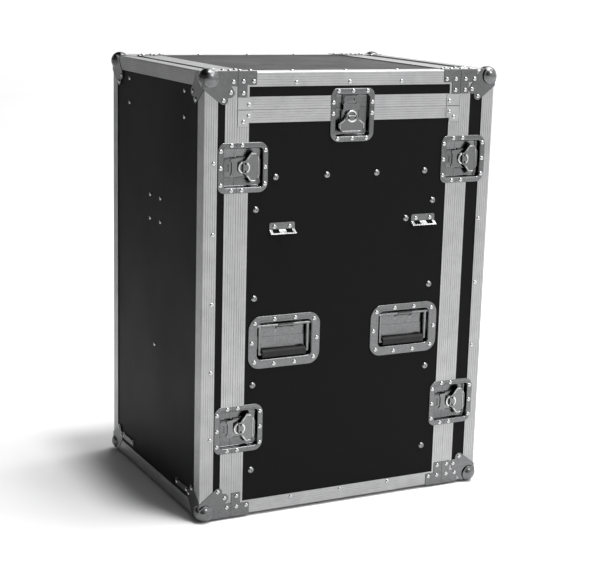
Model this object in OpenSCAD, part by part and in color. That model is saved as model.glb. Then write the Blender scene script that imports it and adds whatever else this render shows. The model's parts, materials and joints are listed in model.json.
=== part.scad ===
// Rack case for stage equipment: plywood boards in aluminium profiles, two end lids,
// a lift-off top lid, ten recessed butterfly latches and four sprung recess handles.
// X runs along the side walls (front lid at -X), Y across the case, Z up.
// The case stands on its ball corners at Z = 0, centred on the Z axis.

/* [Case] */
// Length over the edge profiles, along the side walls
case_l = 681; // [670:1:720]
// Width over the side walls
case_w = 528; // [526:1:540]
// Height over the edge profiles, without the ball corners
case_h = 930; // [920:1:960]
// Depth of the removable front lid
front_lid_d = 72; // [70:1:80]
// Depth of the removable rear lid
rear_lid_d = 87; // [85:1:95]
// Depth of the lift-off top lid
top_lid_d = 76; // [74:1:84]

/* [Boards and profiles] */
// Thickness of the laminated plywood boards
board_t = 9; // [9:0.5:9.5]
// Thickness of the aluminium profiles
skin_t = 1.6; // [1.4:0.1:1.8]
// Width of each leg of the edge angles
angle_w = 30; // [28:1:32]
// Width of the profile on each side of a seam
rim_w = 26; // [24:1:28]
// Gap at the seams
seam_gap = 0.6; // [0.4:0.1:1]

/* [Rack rails] */
// Rack units of the front and rear rails
rack_units = 14; // [12:1:14]
// Rack units of the top rails
top_units = 10; // [8:1:10]
// Radius of the rail holes
rail_hole_r = 3.25; // [3:0.05:3.5]

/* [Hardware] */
// Radius of the ball on each corner
ball_r = 20; // [19.8:0.1:20.4]
// How far the balls stand out of the case
ball_out = 7; // [6.6:0.1:7]
// Length of a latch dish, across its seam
latch_l = 110; // [108:1:112]
// Width of a latch dish, along its seam
latch_w = 102; // [100:1:104]
// Length of a handle dish
handle_l = 166; // [164:1:172]
// Height of a handle dish
handle_h = 112; // [110:1:116]
// How far a latch hook travels when its wing is turned
hook_travel = 6; // [4:0.5:6]

/* [Hidden] */
$fn = 40;
eps = 1;

x0 = -case_l / 2;
x1 = case_l / 2;
y0 = -case_w / 2;
y1 = case_w / 2;
z0 = ball_out;
z1 = z0 + case_h;

// Seam planes
xf = x0 + front_lid_d;
xr = x1 - rear_lid_d;
zt = z1 - top_lid_d;
half_gap = seam_gap / 2;
leg_w = rim_w - half_gap;

// Depths below the outer face: board's outer and inner face, and the inner liner's face
board_out = skin_t;
board_in = skin_t + board_t;
liner_in = board_in + 1.6;
liner_l = 16;

// Seam joint: a tongue on the body enters a groove in the lid
lid_web = 7;
body_web = 3;
tongue_mid = (skin_t + liner_in) / 2 - 0.6;
tongue_t = 3;
tongue_l = 5;
groove_t = 4;
groove_d = 5.5;

// Ribbed faces of the profiles
rib_pitch = 5;
rib_w = 0.7;
rib_d = 0.35;
corner_r = 3;

plate_t = 1.2;
rivet_r = 4.5;
rivet_h = 2;
rivet_pit_r = 1.2;

// Braces at the seams and plates of the ball corners
brace_l = 41.5;
brace_leg = 50;
brace_w = 25.5;
brace_leg_w = 20.5;
corner_leg = 35;
lobe_r = 9.5;
lobe_near = 42;
lobe_far = 55.5;
corner_t = 0.9;
ball_in = ball_r - ball_out;

// Rack rails
unit = 44.45;
hole_step = [6.35, 22.225, 38.1];
rack_spacing = 465.1;
rack_clear = 450;
rail_t = 2;
rail_leg = 30;
rail_offset = 15;
rail_screw_edge = 14;
front_rail_x = x0 + 117.4;
rear_rail_x = x1 - 143.2;
rail_len = rack_units * unit;
rail_mid_z = z0 + 373.5;
rail_z = rail_mid_z - rail_len / 2;
rail_screw_step = 185.3;
top_rail_z = z0 + 716.5;
top_rail_len = top_units * unit;
top_rail_mid = (xf + xr) / 2 + 4.6;
top_screw_step = 118;
screw_r = 3;
screw_hole_r = 3.1;
screw_head_r = 7;
screw_head_h = 4;
spare_screw = [x0 + 472.7, z0 + 615];

// Latches, in their own frame: u across the seam from keeper to wing, v along it, w outwards
latch_shift = 14.75;
pan_d = 12;
pan_t = 1;
pan_keeper_end = -42;
pan_wing_end = 43;
pan_half = 39;
dish_r_keeper = 14;
dish_r_wing = 20;
pan_r = 6;
latch_cut = 1.5;
spindle_u = 3;
pin_w = -3.2;
wing_reach = 37.5;
latch_upper = z0 + 738.5;
latch_lower = z0 + 190;

// Each latch: name, wall (-1 near, 1 far), seam ("x" or "z"), x and z of the dish's middle
LATCHES = [
    for (side = [["near", -1], ["far", 1]])
        for (spot = [
            ["front_upper", "x", xf + latch_shift, latch_upper],
            ["front_lower", "x", xf + latch_shift, latch_lower],
            ["rear_upper", "x", xr + latch_shift, latch_upper],
            ["rear_lower", "x", xr + latch_shift, latch_lower],
            ["top", "z", (xf + xr) / 2, zt - latch_shift]
        ]) [str(side[0], "_", spot[0]), side[1], spot[1], spot[2], spot[3]]
];
FRONT = [0, 1, 5, 6];
REAR = [2, 3, 7, 8];
TOP = [4, 9];

// Handles, in their own frame: u along the wall, v up, w outwards
handle_z = z0 + 371.7;
handle_spread = 144.5;
handle_r = 26;
well_l = 125;
well_h = 77;
well_up = 2.5;
well_d = 13;
well_r = 10;
bail_r = 3.5;
bail_w = -5;
bail_arm = 56;
pivot_v = 34;
grip_v = -26;
grip_r = 7.4;
grip_oval = 1.8;
grip_l = 102;

HANDLES = [
    for (side = [["near", -1], ["far", 1]])
        for (end = [["front", -1], ["rear", 1]])
            [str(side[0], "_", end[0]), side[1], (xf + xr) / 2 + end[1] * handle_spread]
];

// Table hooks on the walls and the plates on the lids that hang on them
hook_x = [x0 + 177.2, x0 + 514.6];
hook_z = z0 + 607;
hook_l = 58;
hang_y = 165;
hang_z = z0 + 45.5;

ply = [0.12, 0.12, 0.125];
alu = [0.74, 0.75, 0.76];
zinc = [0.56, 0.57, 0.58];
rubber = [0.06, 0.06, 0.065];

// ---------- shared shapes ----------

module box(lo, hi) {
    translate(lo) cube(hi - lo);
}

module flip(axis, on) {
    if (on) mirror(axis) children();
    else children();
}

function rib_spots(from, to) = let (n = floor((to - from) / rib_pitch))
    [for (i = [0:n]) (from + to - n * rib_pitch) / 2 + i * rib_pitch];

// Flat ribbed leg of a seam profile: a away from the seam, b into the case
module rim_section() {
    polygon(concat(
        [[0, skin_t], [0, 0]],
        [for (g = rib_spots(4, leg_w - 4), k = [-1:1]) [g + k * rib_w / 2, k == 0 ? rib_d : 0]],
        [[leg_w, 0], [leg_w, skin_t]]
    ));
}

// Edge angle with a rounded outer corner at the origin
module angle_section() {
    ribs = rib_spots(6, angle_w - 3.5);
    n = len(ribs);
    polygon(concat(
        [[angle_w, skin_t], [skin_t, skin_t], [skin_t, angle_w], [0, angle_w]],
        [for (i = [n - 1:-1:0], k = [1:-1:-1]) [k == 0 ? rib_d : 0, ribs[i] + k * rib_w / 2]],
        [for (a = [180:15:270]) corner_r * [1 + cos(a), 1 + sin(a)]],
        [for (g = ribs, k = [-1:1]) [g + k * rib_w / 2, k == 0 ? rib_d : 0]],
        [[angle_w, 0]]
    ));
}

// Edge angles along X, Y and Z; sx, sy and sz say which faces they lie between
module edge_x(xa, xb, sy, sz) {
    translate([xa, sy * y1, sz > 0 ? z1 : z0]) flip([0, 1, 0], sy > 0) flip([0, 0, 1], sz < 0)
        rotate([0, 90, 0]) linear_extrude(xb - xa) angle_section();
}

module edge_y(sx, sz) {
    translate([sx * x1, y0 + angle_w, sz > 0 ? z1 : z0])
        flip([1, 0, 0], sx > 0) flip([0, 0, 1], sz < 0)
            rotate([-90, 0, 0]) linear_extrude(case_w - 2 * angle_w) angle_section();
}

module edge_z(sx, sy) {
    translate([sx * x1, sy * y1, z0 + angle_w]) flip([1, 0, 0], sx > 0) flip([0, 1, 0], sy > 0)
        linear_extrude(case_h - 2 * angle_w) angle_section();
}

// Seam legs: upright on a wall, level on a wall, and across the top or the bottom
module leg_upright(x, dir, sy, za, zb) {
    translate([x, sy * y1, za]) flip([1, 0, 0], dir < 0) flip([0, 1, 0], sy > 0)
        linear_extrude(zb - za) rim_section();
}

module leg_level(z, dir, sy, xa, xb) {
    translate([xa, sy * y1, z]) flip([0, 1, 0], sy > 0) flip([0, 0, 1], dir > 0)
        rotate([0, 90, 0]) linear_extrude(xb - xa) rim_section();
}

module leg_across(x, dir, sz) {
    translate([x, y0 + angle_w, sz > 0 ? z1 : z0])
        flip([1, 0, 0], dir < 0) flip([0, 0, 1], sz < 0)
            rotate([-90, 0, 0]) linear_extrude(case_w - 2 * angle_w) rim_section();
}

// Ring between two depths below the case's outer faces, closed at the top or open above top
module ring_x(xa, xb, out, in, top = z1) {
    closed = top == z1;
    difference() {
        box([xa, y0 + out, z0 + out], [xb, y1 - out, closed ? z1 - out : top]);
        box([xa - eps, y0 + in, z0 + in], [xb + eps, y1 - in, closed ? z1 - in : top + eps]);
    }
}

// Frames that place flat plates on the case's faces, t thick, outside or inside them
module on_wall(sy, depth = 0) {
    flip([0, 1, 0], sy > 0) translate([0, y0 + depth, 0]) rotate([90, 0, 0]) children();
}

module on_top(sz, depth = 0) {
    translate([0, 0, sz > 0 ? z1 - depth : z0 + depth]) flip([0, 0, 1], sz < 0) children();
}

module on_end(sx, depth = 0) {
    flip([1, 0, 0], sx < 0) translate([x1 - depth, 0, 0]) rotate([90, 0, 90]) children();
}

// Frames of one latch and one handle: u, v, w become X, Y, Z here
module at_latch(l) {
    translate([l[3], l[1] * y1, l[4]]) rotate([-l[1] * 90, 0, 0]) rotate([0, 0, turn_of(l)])
        children();
}

function turn_of(l) = l[2] == "x" ? 0 : l[1] < 0 ? -90 : 90;

module at_handle(h) {
    translate([h[2], h[1] * y1, handle_z]) rotate([-h[1] * 90, 0, 0])
        rotate([0, 0, h[1] < 0 ? 0 : 180]) children();
}

// Blind rivet head: a low dome with the hole of its mandrel
module rivet() {
    rotate_extrude()
        polygon([[0, 0], [rivet_r, 0], [rivet_r, 0.5], [rivet_r * 0.78, 1.4],
                 [rivet_r * 0.45, rivet_h], [rivet_pit_r, rivet_h], [rivet_pit_r, 1], [0, 1]]);
}

module rivets(spots) {
    for (p = spots) translate(p) rivet();
}

// Rounded plates, with one radius or with one for each end
module rounded(w, h, r) {
    square([w - 2 * r, h], center = true);
    square([w, h - 2 * r], center = true);
    for (sx = [-1, 1], sy = [-1, 1]) translate([sx * (w / 2 - r), sy * (h / 2 - r)]) circle(r);
}

module dish_outline() {
    l = latch_l / 2;
    h = latch_w / 2;
    ends = [[-1, dish_r_keeper], [1, dish_r_wing]];
    square([latch_l - 2 * dish_r_wing, latch_w], center = true);
    for (e = ends) {
        translate([e[0] * (l - e[1]), 0]) square([2 * e[1], latch_w - 2 * e[1]], center = true);
        for (sy = [-1, 1]) translate([e[0] * (l - e[1]), sy * (h - e[1])]) circle(e[1]);
    }
    translate([-l + dish_r_keeper, -h]) square([2 * dish_r_wing, latch_w]);
}

// ---------- cut-outs ----------

module pan_outline(grow) {
    translate([(pan_keeper_end + pan_wing_end) / 2, 0])
        rounded(pan_wing_end - pan_keeper_end + 2 * grow, 2 * (pan_half + grow), pan_r);
}

module latch_cuts() {
    for (l = LATCHES) at_latch(l)
        box([pan_keeper_end - latch_cut, -pan_half - latch_cut, -liner_in - 2 * eps],
            [pan_wing_end + latch_cut, pan_half + latch_cut, eps]);
}

module handle_cuts() {
    for (h = HANDLES) at_handle(h)
        box([-well_l / 2 - 4, -well_h / 2 + well_up - 2.5, -liner_in - 2 * eps],
            [well_l / 2 + 4, well_h / 2 + well_up + 2.5, eps]);
}

// Screws in one wall: x and z of each
function wall_screws() = concat(
    [for (x = [front_rail_x, rear_rail_x], i = [-1.5:1.5]) [x, rail_mid_z + i * rail_screw_step]],
    [for (i = [-1.5:1.5]) [top_rail_mid + i * top_screw_step, top_rail_z]]
);

module screw_holes(r) {
    for (sy = [-1, 1]) on_wall(sy)
        for (p = concat(wall_screws(), [spare_screw]))
            translate([p[0], p[1], -rail_offset - 10]) cylinder(r = r, h = rail_offset + 10 + eps);
}

// ---------- body ----------

module side_wall(sy) {
    color(ply) difference() {
        flip([0, 1, 0], sy > 0)
            box([xf + half_gap + body_web, y0 + board_out, z0 + board_out],
                [xr - half_gap - body_web, y0 + board_in, zt - half_gap - body_web]);
        latch_cuts();
        handle_cuts();
        screw_holes(screw_hole_r);
    }
}

module floor_panel() {
    color(ply) box([xf + half_gap + body_web, y0 + board_in, z0 + board_out],
                   [xr - half_gap - body_web, y1 - board_in, z0 + board_in]);
}

// Web, inner leg and tongue of the body's open frame at one end seam; dir points into the body
module body_frame(x, dir) {
    module between(a, b, out, in, top) {
        ring_x(min(x + dir * a, x + dir * b), max(x + dir * a, x + dir * b), out, in, top);
    }
    between(half_gap, half_gap + body_web, board_out, liner_in, zt - half_gap);
    between(half_gap + body_web, half_gap + liner_l, board_in, liner_in, zt - half_gap);
    between(half_gap - tongue_l, half_gap, tongue_mid - tongue_t / 2, tongue_mid + tongue_t / 2,
            zt - 2);
}

module body_profiles() {
    color(alu) difference() {
        union() {
            for (sy = [-1, 1]) edge_x(xf + half_gap, xr - half_gap, sy, -1);
            for (end = [[xf, 1], [xr, -1]]) {
                body_frame(end[0], end[1]);
                leg_across(end[0] + end[1] * half_gap, end[1], -1);
                for (sy = [-1, 1])
                    leg_upright(end[0] + end[1] * half_gap, end[1], sy, z0 + angle_w, zt - half_gap);
            }
            for (sy = [-1, 1]) {
                leg_level(zt - half_gap, -1, sy, xf + rim_w, xr - rim_w);
                flip([0, 1, 0], sy > 0) {
                    box([xf + half_gap + body_web, y0 + board_out, zt - half_gap - body_web],
                        [xr - half_gap - body_web, y0 + liner_in, zt - half_gap]);
                    box([xf + half_gap + liner_l, y0 + board_in, zt - half_gap - liner_l],
                        [xr - half_gap - liner_l, y0 + liner_in, zt - half_gap - body_web]);
                    box([xf + 4, y0 + tongue_mid - tongue_t / 2, zt - half_gap],
                        [xr - 4, y0 + tongue_mid + tongue_t / 2, zt - half_gap + tongue_l]);
                }
            }
            cross_bars();
        }
        latch_cuts();
    }
}

// Angles across the case where the end openings meet the top opening
module cross_bars() {
    for (end = [[xf, false], [xr, true]]) translate([end[0], 0, 0]) flip([1, 0, 0], end[1]) {
        box([half_gap, y0 + liner_in, zt - rim_w], [half_gap + 2, y1 - liner_in, zt - half_gap]);
        box([half_gap, y0 + liner_in, zt - half_gap - 2], [rim_w, y1 - liner_in, zt - half_gap]);
    }
}

// Upright rail pair; the flange looks out of the opening that dir points to
module upright_rails(x, dir) {
    outer = x + dir * rail_screw_edge;
    for (sy = [-1, 1]) flip([0, 1, 0], sy > 0) difference() {
        union() {
            box([min(outer, outer - dir * rail_leg), y0 + rail_offset, rail_z],
                [max(outer, outer - dir * rail_leg), y0 + rail_offset + rail_t, rail_z + rail_len]);
            box([min(outer, outer - dir * rail_t), y0 + rail_offset, rail_z],
                [max(outer, outer - dir * rail_t), -rack_clear / 2, rail_z + rail_len]);
        }
        for (u = [0:rack_units - 1], s = hole_step)
            translate([outer - dir * 5, -rack_spacing / 2, rail_z + u * unit + s])
                rotate([0, dir * 90, 0]) cylinder(r = rail_hole_r, h = 10);
        screw_holes(screw_hole_r);
    }
}

module top_rails() {
    top = top_rail_z + rail_screw_edge;
    xa = top_rail_mid - top_rail_len / 2;
    for (sy = [-1, 1]) flip([0, 1, 0], sy > 0) difference() {
        union() {
            box([xa, y0 + rail_offset, top - rail_leg],
                [xa + top_rail_len, y0 + rail_offset + rail_t, top]);
            box([xa, y0 + rail_offset, top - rail_t], [xa + top_rail_len, -rack_clear / 2, top]);
        }
        for (u = [0:top_units - 1], s = hole_step)
            translate([xa + u * unit + s, -rack_spacing / 2, top - 5])
                cylinder(r = rail_hole_r, h = 10);
        screw_holes(screw_hole_r);
    }
}

module rack_rails() {
    color(zinc) {
        upright_rails(front_rail_x, -1);
        upright_rails(rear_rail_x, 1);
        top_rails();
    }
}

// Screw with its mushroom head on the wall, its spacer behind the wall and its nut
module rail_screw(spaced) {
    nut_t = 5;
    tip = spaced ? rail_offset + rail_t + nut_t : board_in + nut_t;
    rotate_extrude()
        polygon([[0, -tip], [screw_r, -tip], [screw_r, -board_out], [screw_head_r, -board_out],
                 [screw_head_r, 0.6 - board_out], [screw_head_r * 0.8, 2.6 - board_out],
                 [screw_head_r * 0.5, screw_head_h - board_out], [2, screw_head_h - board_out],
                 [1.6, 2.2 - board_out], [0, 2.2 - board_out]]);
    translate([0, 0, -tip]) cylinder(r = 5.8, h = nut_t, $fn = 6);
    if (spaced) translate([0, 0, -rail_offset]) difference() {
        cylinder(r = 9, h = rail_offset - board_in);
        translate([0, 0, -eps]) cylinder(r = screw_hole_r, h = rail_offset);
    }
}

module rail_fasteners() {
    color(zinc) for (sy = [-1, 1]) on_wall(sy) {
        for (p = wall_screws()) translate([p[0], p[1], 0]) rail_screw(true);
        translate([spare_screw[0], spare_screw[1], 0]) rail_screw(false);
    }
}

// ---------- handles ----------

module handle_dish() {
    difference() {
        union() {
            linear_extrude(plate_t) rounded(handle_l, handle_h, handle_r);
            translate([0, well_up, -well_d - pan_t])
                linear_extrude(well_d + pan_t) rounded(well_l + 2 * pan_t, well_h + 2 * pan_t, well_r + 1);
        }
        translate([0, well_up, -well_d]) linear_extrude(well_d + 5) rounded(well_l, well_h, well_r);
        translate([-well_l, pivot_v, bail_w]) rotate([0, 90, 0])
            cylinder(r = bail_r + 0.08, h = 2 * well_l);
    }
}

// Torsion spring round the middle of the bail's pivot rod, with a leg on the well's floor
module handle_spring() {
    wire = 0.95;
    turns = 9;
    translate([-turns * 0.82 * wire, pivot_v, bail_w]) rotate([0, 90, 0]) rotate_extrude()
        for (i = [0:turns]) translate([bail_r + 0.35 + wire, i * 1.65 * wire]) circle(wire, $fn = 6);
    for (s = [-1, 1]) translate([s * 7, pivot_v - bail_r - 1.4, -well_d]) cylinder(r = wire, h = 5.5);
}

module handle_dishes() {
    color(zinc) for (h = HANDLES) at_handle(h) {
        handle_dish();
        handle_spring();
    }
}

module handle_bail() {
    color(zinc) {
        translate([-well_l / 2 - 3, pivot_v, bail_w]) rotate([0, 90, 0])
            cylinder(r = bail_r, h = well_l + 6);
        translate([-bail_arm, grip_v, bail_w]) rotate([0, 90, 0])
            cylinder(r = bail_r, h = 2 * bail_arm);
        for (s = [-1, 1]) translate([s * bail_arm, grip_v, bail_w]) {
            rotate([-90, 0, 0]) cylinder(r = bail_r, h = pivot_v - grip_v);
            sphere(bail_r);
        }
    }
}

module handle_grip() {
    color(rubber) translate([-grip_l / 2, grip_v, bail_w]) rotate([90, 0, 90]) linear_extrude(grip_l)
        difference() {
            union() {
                for (s = [-1, 1]) translate([s * grip_oval, 0]) circle(grip_r);
                square([2 * grip_oval, 2 * grip_r], center = true);
            }
            circle(bail_r + 0.05);
        }
}

// ---------- latches ----------

module latch_dish() {
    difference() {
        union() {
            linear_extrude(plate_t) dish_outline();
            translate([0, 0, -pan_d - pan_t]) linear_extrude(pan_d + pan_t) pan_outline(pan_t);
        }
        translate([0, 0, -pan_d]) linear_extrude(pan_d + 5) pan_outline(0);
        translate([spindle_u, 0, -pan_d - 5]) cylinder(r = 3.06, h = 10);
    }
}

module half(from, to) {
    intersection() {
        latch_dish();
        box([from, -latch_w, -pan_d - 5], [to, latch_w, 5]);
    }
}

// Lid side of a dish, with the raised keeper that the hook reaches over
module keeper_half() {
    half(-latch_l, -latch_shift - half_gap);
    difference() {
        union() {
            box([-41, -19, -pan_d], [-20, 19, -9.4]);
            translate([0, 0, -9.4]) linear_extrude(2) translate([-30.5, 0]) rounded(17, 34, 4);
        }
        box([-34, -8, -9], [-29, 8, 0]);
    }
}

// Body side of a dish, with the two guides of its hook
module wing_half() {
    half(-latch_shift + half_gap, latch_l);
    for (s = [-1, 1]) translate([0, s * 20.2, 0]) box([-9, -1, -pan_d], [24, 1, -8.4]);
}

module latch_hook() {
    slot_r = 7.4;
    color(zinc) difference() {
        union() {
            box([-12, -18.5, -10.4], [26, 18.5, -8.9]);
            box([-12, -18.5, -10.4], [-10.5, 18.5, -5.5]);
            translate([0, 0, -7]) linear_extrude(1.5) {
                translate([-22, -14.5]) square([11.5, 29]);
                translate([-18, -18.5]) square([7.5, 37]);
                for (s = [-1, 1]) translate([-21, s * 14.5]) circle(4);
            }
        }
        for (u = [spindle_u, spindle_u + hook_travel]) translate([u, 0, -12]) cylinder(r = slot_r, h = 5);
        box([spindle_u, -slot_r, -12], [spindle_u + hook_travel, slot_r, -8]);
    }
}

// Raised round boss over the spindle; its left part stands on the spindle, its right part on the wing
module boss_ring(from, to) {
    translate([0, 0, from]) linear_extrude(to - from) difference() {
        circle(12.5);
        circle(9.4);
    }
}

module latch_spindle() {
    ear_r = 2.7;
    color(zinc) translate([spindle_u, 0, 0]) {
        translate([0, 0, -pan_d - pan_t - 0.3]) cylinder(r = 3, h = 2);
        translate([0, 0, -pan_d - pan_t - 1.3]) cylinder(r = 5, h = 1);
        translate([0, 0, -11.8]) cylinder(r = 7, h = 4);
        translate([0, 0, -8.6]) cylinder(r = 12.5, h = 2);
        translate([0, 0, -6.6]) cylinder(r = 11.5, h = 0.5);
        intersection() {
            boss_ring(-6.8, -2);
            box([-13, -13, -7], [-3.6, 13, -1]);
        }
        for (s = [-1, 1]) translate([0, s * 7.2, 0]) {
            box([-ear_r, -1.5, -6.2], [ear_r, 1.5, pin_w]);
            translate([0, 1.5, pin_w]) rotate([90, 0, 0]) cylinder(r = ear_r, h = 3);
        }
        translate([0, 8.7, pin_w]) rotate([90, 0, 0]) cylinder(r = 1.5, h = 17.4);
    }
}

module wing_outline() {
    intersection() {
        polygon([[1, -10], [1, -12.4], [5, -13.2], [19, -31], [31, -31], [37, -24], [37, 24],
                 [31, 31], [19, 31], [5, 13.2], [1, 12.4], [1, 10], [8, 10], [8, -10]]);
        translate([spindle_u, 0]) circle(wing_reach);
    }
}

module latch_wing() {
    color(zinc) {
        difference() {
            union() {
                translate([0, 0, -2.8]) linear_extrude(2) wing_outline();
                box([spindle_u, -5.4, -2.8], [9, 5.4, -0.8]);
                box([35.5, -16, -0.8], [37, 16, 0.2]);
                translate([spindle_u, 5.4, pin_w]) rotate([90, 0, 0]) cylinder(r = 2.4, h = 10.8);
            }
            translate([0, 0, -1.6]) linear_extrude(3) polygon([
                [12, -17], [19.5, -27], [29.5, -27], [33.4, -22.5],
                [33.4, 22.5], [29.5, 27], [19.5, 27], [12, 17]]);
            translate([spindle_u, 6, pin_w]) rotate([90, 0, 0]) cylinder(r = 1.56, h = 12);
        }
        intersection() {
            translate([spindle_u, 0, 0]) boss_ring(-1.8, -0.1);
            box([8.4, -13, -2], [16, 13, 0.2]);
        }
    }
}

// Rivets of a dish, split like the dish itself
function keeper_rivets() = concat(
    [for (v = [-34, 0, 34]) [-49.5, v, plate_t]],
    [for (v = [-45.5, 45.5]) [-26, v, plate_t]]
);
function wing_rivets() = concat(
    [for (v = [-34, 0, 34]) [48.5, v, plate_t]],
    [for (v = [-45.5, 45.5]) [-3, v, plate_t]]
);

// ---------- corners, braces and plates ----------

module corner_outline() {
    difference() {
        union() {
            polygon([[0, 0], [corner_leg, 0], [lobe_far + lobe_r, lobe_near - 3],
                     [lobe_near - 3, lobe_far + lobe_r], [0, corner_leg]]);
            translate([lobe_far, lobe_near]) circle(lobe_r);
            translate([lobe_near, lobe_far]) circle(lobe_r);
            for (swap = [0, 1]) mirror([swap, -swap]) translate([0, -corner_t])
                square([corner_leg, corner_t]);
        }
        translate([-eps, -eps - corner_t]) square(ball_in + eps + 0.5);
    }
}

// Ball corner at a corner whose three faces look towards -X, -Y and -Z
module ball_corner() {
    fill = angle_w - 0.2;
    difference() {
        union() {
            translate([ball_in, ball_in, ball_in]) rotate([0, 54.7, 45]) sphere(ball_r);
            translate([0, 0, -corner_t]) linear_extrude(corner_t) corner_outline();
            rotate([90, 0, 0]) linear_extrude(corner_t) corner_outline();
            translate([-corner_t, 0, 0]) rotate([90, 0, 90]) linear_extrude(corner_t)
                corner_outline();
            difference() {
                cube(fill);
                cube(2 * ball_in - 3, center = true);
            }
        }
        translate([board_out, board_out, board_out]) cube(200);
    }
}

module ball_corners(sx) {
    for (sy = [-1, 1], sz = [-1, 1])
        translate([sx * x1, sy * y1, sz > 0 ? z1 : z0])
            flip([1, 0, 0], sx > 0) flip([0, 1, 0], sy > 0) flip([0, 0, 1], sz > 0) ball_corner();
}

// Corner outline in a wall's or a top's own plane, to keep braces clear of it
module corner_shadow(x, sx, edge, inward) {
    translate([x, edge]) mirror([sx > 0 ? 1 : 0, 0]) mirror([0, inward < 0 ? 1 : 0])
        union() {
            corner_outline();
            square(corner_leg / 2);
        }
}

// L-shaped brace at a seam: along the edge, with a leg beside the seam
module brace_outline(x, dir, edge, inward, leg) {
    translate([x + dir * half_gap, edge]) mirror([dir < 0 ? 1 : 0, 0]) mirror([0, inward < 0 ? 1 : 0])
        translate([0, -plate_t]) {
            square([brace_l - half_gap, brace_w + plate_t]);
            square([brace_leg_w, leg + plate_t]);
        }
}

function brace_holes() = [[12.3, 19.5], [35, 19.5], [12.3, 43]];

// Braces on the walls (sz at that edge) and on the top or bottom, one side of one seam
module braces(x, dir, sx, zs, leg = brace_leg) {
    for (sy = [-1, 1], sz = zs) {
        on_wall(sy) linear_extrude(plate_t) difference() {
            brace_outline(x, dir, sz > 0 ? z1 : z0, -sz, leg);
            if (sx != 0) corner_shadow(sx * x1, sx, sz > 0 ? z1 : z0, -sz);
        }
        on_top(sz) linear_extrude(plate_t) difference() {
            brace_outline(x, dir, sy * y1, -sy, leg);
            if (sx != 0) corner_shadow(sx * x1, sx, sy * y1, -sy);
        }
    }
}

module brace_rivets(x, dir, zs, spots) {
    for (sy = [-1, 1], sz = zs, p = spots) {
        on_wall(sy) translate([x + dir * p[0], (sz > 0 ? z1 : z0) - sz * p[1], plate_t]) rivet();
        on_top(sz) translate([x + dir * p[0], sy * (y1 - p[1]), plate_t]) rivet();
    }
}

module corner_rivets(sx) {
    spots = [[lobe_far + 1.5, lobe_near - 0.5], [lobe_near - 0.5, lobe_far + 1.5]];
    for (sy = [-1, 1], sz = [-1, 1], p = spots) {
        on_wall(sy) translate([sx * (x1 - p[0]), (sz > 0 ? z1 : z0) - sz * p[1], corner_t]) rivet();
        on_top(sz) translate([sx * (x1 - p[0]), sy * (y1 - p[1]), corner_t]) rivet();
        on_end(sx) translate([sy * (y1 - p[0]), (sz > 0 ? z1 : z0) - sz * p[1], corner_t]) rivet();
    }
}

// Flat joint plates where the end seams meet the top seam; up is 1 above the seam
joint_t = 0.8;
module joint_plates(up) {
    for (sy = [-1, 1], end = [[xf, 1], [xr, -1]]) on_wall(sy) linear_extrude(joint_t)
        translate([end[0], zt]) mirror([end[1] < 0 ? 1 : 0, 0]) mirror([0, up > 0 ? 0 : 1]) {
            translate([half_gap + 0.5, half_gap + 0.5]) square([32, 24]);
            if (up < 0) translate([half_gap + 0.5, half_gap + 0.5]) square([24.5, 33]);
        }
}

module joint_rivets(up) {
    spots = up > 0 ? [[25.5, 10.2]] : [[25, -12.5], [13.4, -24]];
    for (sy = [-1, 1], end = [[xf, 1], [xr, -1]], p = spots)
        on_wall(sy) translate([end[0] + end[1] * p[0], zt + p[1], joint_t]) rivet();
}

// Plate on a lid's outer face, with a lip that hangs on a wall's table hook
module hang_plates(sx) {
    for (s = [-1, 1]) on_end(sx, board_out) translate([s * hang_y, hang_z, 0]) {
        linear_extrude(1.5) rounded(69, 15.5, 2);
        translate([-24, 3.5, 1.5]) cube([48, 3, 2]);
    }
}

module hang_rivets(sx) {
    for (s = [-1, 1], r = [-27, 27])
        on_end(sx, board_out) translate([s * hang_y + r, hang_z - 1.5, 1.5]) rivet();
}

// Rivets through a lid's outer board: two pairs high up, four in the middle and one low down
module face_rivets(sx) {
    spots = concat(
        [for (y = [-160, 160], z = [832, 885]) [y, z]],
        [for (y = [-30, 30], z = [593.5, 645]) [y, z]],
        [[0, 316]]
    );
    for (p = spots) on_end(sx, board_out) translate([p[0], z0 + p[1], 0]) rivet();
}

// Table hook on a wall: a plate with a flange bent outwards, with two windows
module table_hook() {
    difference() {
        union() {
            translate([-hook_l / 2, 0, 0]) rotate([90, 0, 90]) linear_extrude(hook_l)
                polygon([[12, 0], [12, 1.5], [1.26, 1.5], [-6.3, 11.9], [-7.5, 11], [0.5, 0]]);
            translate([4 - hook_l / 2, 11, 0]) cube([hook_l - 8, 5, 1.5]);
            for (s = [-1, 1]) translate([s * (hook_l / 2 - 4), 12, 0]) cylinder(r = 4, h = 1.5);
        }
        for (s = [-1, 1]) translate([s * 15.25 - 7.5, -4.6, -eps]) cube([15, 6.6, 20]);
    }
}

module body_fittings() {
    color(zinc) {
        for (sy = [-1, 1], x = hook_x) on_wall(sy, board_out) translate([x, hook_z, 0]) table_hook();
        braces(xf, 1, 0, [-1]);
        braces(xr, -1, 0, [-1]);
    }
    color(alu) joint_plates(-1);
}

module body_latch_dishes() {
    color(zinc) {
        for (i = concat(FRONT, TOP)) at_latch(LATCHES[i]) wing_half();
        for (i = REAR) at_latch(LATCHES[i]) keeper_half();
    }
}

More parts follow.
